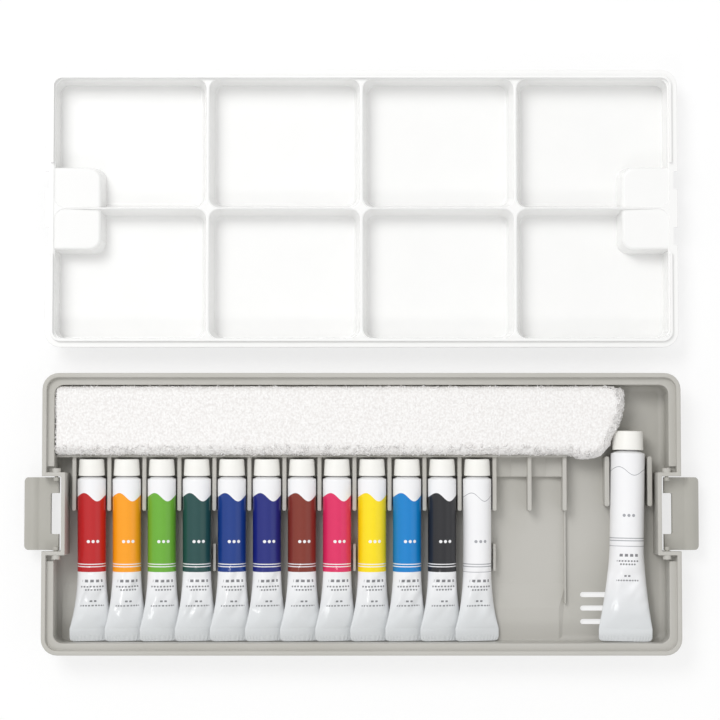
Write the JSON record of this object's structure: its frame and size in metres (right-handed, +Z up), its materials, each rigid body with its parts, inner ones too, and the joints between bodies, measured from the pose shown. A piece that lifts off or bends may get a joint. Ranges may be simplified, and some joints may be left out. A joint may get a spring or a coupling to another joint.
{
  "type": "paint box with palette lid",
  "caption": "Long shallow plastic paint box with a tube rack, small and large paint tubes, a folded towel, snap latches and a lid that is a palette of wells.",
  "frame": {"origin": "centre of the tray's flat underside", "axes": "+X along the box to the right, +Y towards the open lid, +Z up"},
  "size_m": [0.376, 0.3257, 0.024],
  "materials": {
    "tray_plastic": "satin",
    "lid_plastic": "gloss",
    "terry": "matte",
    "tube_foil": "satin",
    "cap_plastic": "satin",
    "paint_red": "satin",
    "paint_orange": "satin",
    "paint_light_green": "satin",
    "paint_dark_green": "satin",
    "paint_ultramarine": "satin",
    "paint_violet": "satin",
    "paint_brown": "satin",
    "paint_magenta": "satin",
    "paint_yellow": "satin",
    "paint_cyan": "satin",
    "paint_black": "satin",
    "paint_white": "satin"
  },
  "bodies": {
    "tray": {"tray_shell": "tray_plastic", "tube_rack": "tray_plastic"},
    "lid": {"palette_lid": "lid_plastic"},
    "latch_left_arm": {"latch_left": "tray_plastic"},
    "latch_right_arm": {"latch_right": "tray_plastic"},
    "towel_bundle": {"towel": "terry"},
    "red_tube": {"tube_red": "tube_foil", "paint_red": "paint_red"},
    "red_cap": {"cap_red": "cap_plastic"},
    "orange_tube": {"tube_orange": "tube_foil", "paint_orange": "paint_orange"},
    "orange_cap": {"cap_orange": "cap_plastic"},
    "light_green_tube": {"tube_light_green": "tube_foil", "paint_light_green": "paint_light_green"},
    "light_green_cap": {"cap_light_green": "cap_plastic"},
    "dark_green_tube": {"tube_dark_green": "tube_foil", "paint_dark_green": "paint_dark_green"},
    "dark_green_cap": {"cap_dark_green": "cap_plastic"},
    "ultramarine_tube": {"tube_ultramarine": "tube_foil", "paint_ultramarine": "paint_ultramarine"},
    "ultramarine_cap": {"cap_ultramarine": "cap_plastic"},
    "violet_tube": {"tube_violet": "tube_foil", "paint_violet": "paint_violet"},
    "violet_cap": {"cap_violet": "cap_plastic"},
    "brown_tube": {"tube_brown": "tube_foil", "paint_brown": "paint_brown"},
    "brown_cap": {"cap_brown": "cap_plastic"},
    "magenta_tube": {"tube_magenta": "tube_foil", "paint_magenta": "paint_magenta"},
    "magenta_cap": {"cap_magenta": "cap_plastic"},
    "yellow_tube": {"tube_yellow": "tube_foil", "paint_yellow": "paint_yellow"},
    "yellow_cap": {"cap_yellow": "cap_plastic"},
    "cyan_tube": {"tube_cyan": "tube_foil", "paint_cyan": "paint_cyan"},
    "cyan_cap": {"cap_cyan": "cap_plastic"},
    "black_tube": {"tube_black": "tube_foil", "paint_black": "paint_black"},
    "black_cap": {"cap_black": "cap_plastic"},
    "white_tube": {"tube_white": "tube_foil", "paint_white": "paint_white"},
    "white_cap": {"cap_white": "cap_plastic"},
    "large_tube": {"tube_large_white": "tube_foil", "paint_large_white": "paint_white"},
    "large_cap": {"cap_large_white": "cap_plastic"}
  },
  "joints": [
    {"name": "lid_turn", "type": "hinge", "parent": "tray", "child": "lid", "pos_m": [0, 0.08505, 0.0211], "axis": [1, 0, 0], "range_deg": [0, 180]},
    {"name": "latch_left_turn", "type": "hinge", "parent": "tray", "child": "latch_left_arm", "pos_m": [-0.1687, 0, 0.0214], "axis": [0, 1, 0], "range_deg": [0, 100]},
    {"name": "latch_right_turn", "type": "hinge", "parent": "tray", "child": "latch_right_arm", "pos_m": [0.1687, 0, 0.0214], "axis": [0, -1, 0], "range_deg": [0, 100]},
    {"name": "towel_lift", "type": "slide", "parent": "tray", "child": "towel_bundle", "axis": [0, 0, -1], "range_m": [-0.03, 0]},
    {"name": "red_tube_lift", "type": "slide", "parent": "tray", "child": "red_tube", "axis": [0, 0, -1], "range_m": [-0.018, 0]},
    {"name": "red_cap_turn", "type": "hinge", "parent": "red_tube", "child": "red_cap", "pos_m": [-0.15015, 0.02116, 0.01281], "axis": [0, 0.9985, 0.055], "range_deg": [0, 540]},
    {"name": "orange_tube_lift", "type": "slide", "parent": "red_tube", "child": "orange_tube", "axis": [0, 0, -1], "range_m": [-0.018, 0]},
    {"name": "orange_cap_turn", "type": "hinge", "parent": "orange_tube", "child": "orange_cap", "pos_m": [-0.13065, 0.02116, 0.01281], "axis": [0, 0.9985, 0.055], "range_deg": [0, 540]},
    {"name": "light_green_tube_lift", "type": "slide", "parent": "orange_tube", "child": "light_green_tube", "axis": [0, 0, -1], "range_m": [-0.018, 0]},
    {"name": "light_green_cap_turn", "type": "hinge", "parent": "light_green_tube", "child": "light_green_cap", "pos_m": [-0.11115, 0.02116, 0.01281], "axis": [0, 0.9985, 0.055], "range_deg": [0, 540]},
    {"name": "dark_green_tube_lift", "type": "slide", "parent": "light_green_tube", "child": "dark_green_tube", "axis": [0, 0, -1], "range_m": [-0.018, 0]},
    {"name": "dark_green_cap_turn", "type": "hinge", "parent": "dark_green_tube", "child": "dark_green_cap", "pos_m": [-0.09165, 0.02116, 0.01281], "axis": [0, 0.9985, 0.055], "range_deg": [0, 540]},
    {"name": "ultramarine_tube_lift", "type": "slide", "parent": "dark_green_tube", "child": "ultramarine_tube", "axis": [0, 0, -1], "range_m": [-0.018, 0]},
    {"name": "ultramarine_cap_turn", "type": "hinge", "parent": "ultramarine_tube", "child": "ultramarine_cap", "pos_m": [-0.07215, 0.02116, 0.01281], "axis": [0, 0.9985, 0.055], "range_deg": [0, 540]},
    {"name": "violet_tube_lift", "type": "slide", "parent": "ultramarine_tube", "child": "violet_tube", "axis": [0, 0, -1], "range_m": [-0.018, 0]},
    {"name": "violet_cap_turn", "type": "hinge", "parent": "violet_tube", "child": "violet_cap", "pos_m": [-0.05265, 0.02116, 0.01281], "axis": [0, 0.9985, 0.055], "range_deg": [0, 540]},
    {"name": "brown_tube_lift", "type": "slide", "parent": "violet_tube", "child": "brown_tube", "axis": [0, 0, -1], "range_m": [-0.018, 0]},
    {"name": "brown_cap_turn", "type": "hinge", "parent": "brown_tube", "child": "brown_cap", "pos_m": [-0.03315, 0.02116, 0.01281], "axis": [0, 0.9985, 0.055], "range_deg": [0, 540]},
    {"name": "magenta_tube_lift", "type": "slide", "parent": "brown_tube", "child": "magenta_tube", "axis": [0, 0, -1], "range_m": [-0.018, 0]},
    {"name": "magenta_cap_turn", "type": "hinge", "parent": "magenta_tube", "child": "magenta_cap", "pos_m": [-0.01365, 0.02116, 0.01281], "axis": [0, 0.9985, 0.055], "range_deg": [0, 540]},
    {"name": "yellow_tube_lift", "type": "slide", "parent": "magenta_tube", "child": "yellow_tube", "axis": [0, 0, -1], "range_m": [-0.018, 0]},
    {"name": "yellow_cap_turn", "type": "hinge", "parent": "yellow_tube", "child": "yellow_cap", "pos_m": [0.00585, 0.02116, 0.01281], "axis": [0, 0.9985, 0.055], "range_deg": [0, 540]},
    {"name": "cyan_tube_lift", "type": "slide", "parent": "yellow_tube", "child": "cyan_tube", "axis": [0, 0, -1], "range_m": [-0.018, 0]},
    {"name": "cyan_cap_turn", "type": "hinge", "parent": "cyan_tube", "child": "cyan_cap", "pos_m": [0.02535, 0.02116, 0.01281], "axis": [0, 0.9985, 0.055], "range_deg": [0, 540]},
    {"name": "black_tube_lift", "type": "slide", "parent": "cyan_tube", "child": "black_tube", "axis": [0, 0, -1], "range_m": [-0.018, 0]},
    {"name": "black_cap_turn", "type": "hinge", "parent": "black_tube", "child": "black_cap", "pos_m": [0.04485, 0.02116, 0.01281], "axis": [0, 0.9985, 0.055], "range_deg": [0, 540]},
    {"name": "white_tube_lift", "type": "slide", "parent": "black_tube", "child": "white_tube", "axis": [0, 0, -1], "range_m": [-0.018, 0]},
    {"name": "white_cap_turn", "type": "hinge", "parent": "white_tube", "child": "white_cap", "pos_m": [0.06435, 0.02116, 0.01281], "axis": [0, 0.9985, 0.055], "range_deg": [0, 540]},
    {"name": "large_tube_lift", "type": "slide", "parent": "tray", "child": "large_tube", "axis": [0, 0, -1], "range_m": [-0.03, 0]},
    {"name": "large_cap_turn", "type": "hinge", "parent": "large_tube", "child": "large_cap", "pos_m": [0.14842, 0.03528, 0.0118], "axis": [0.0175, 0.9998, 0], "range_deg": [0, 540]}
  ]
}
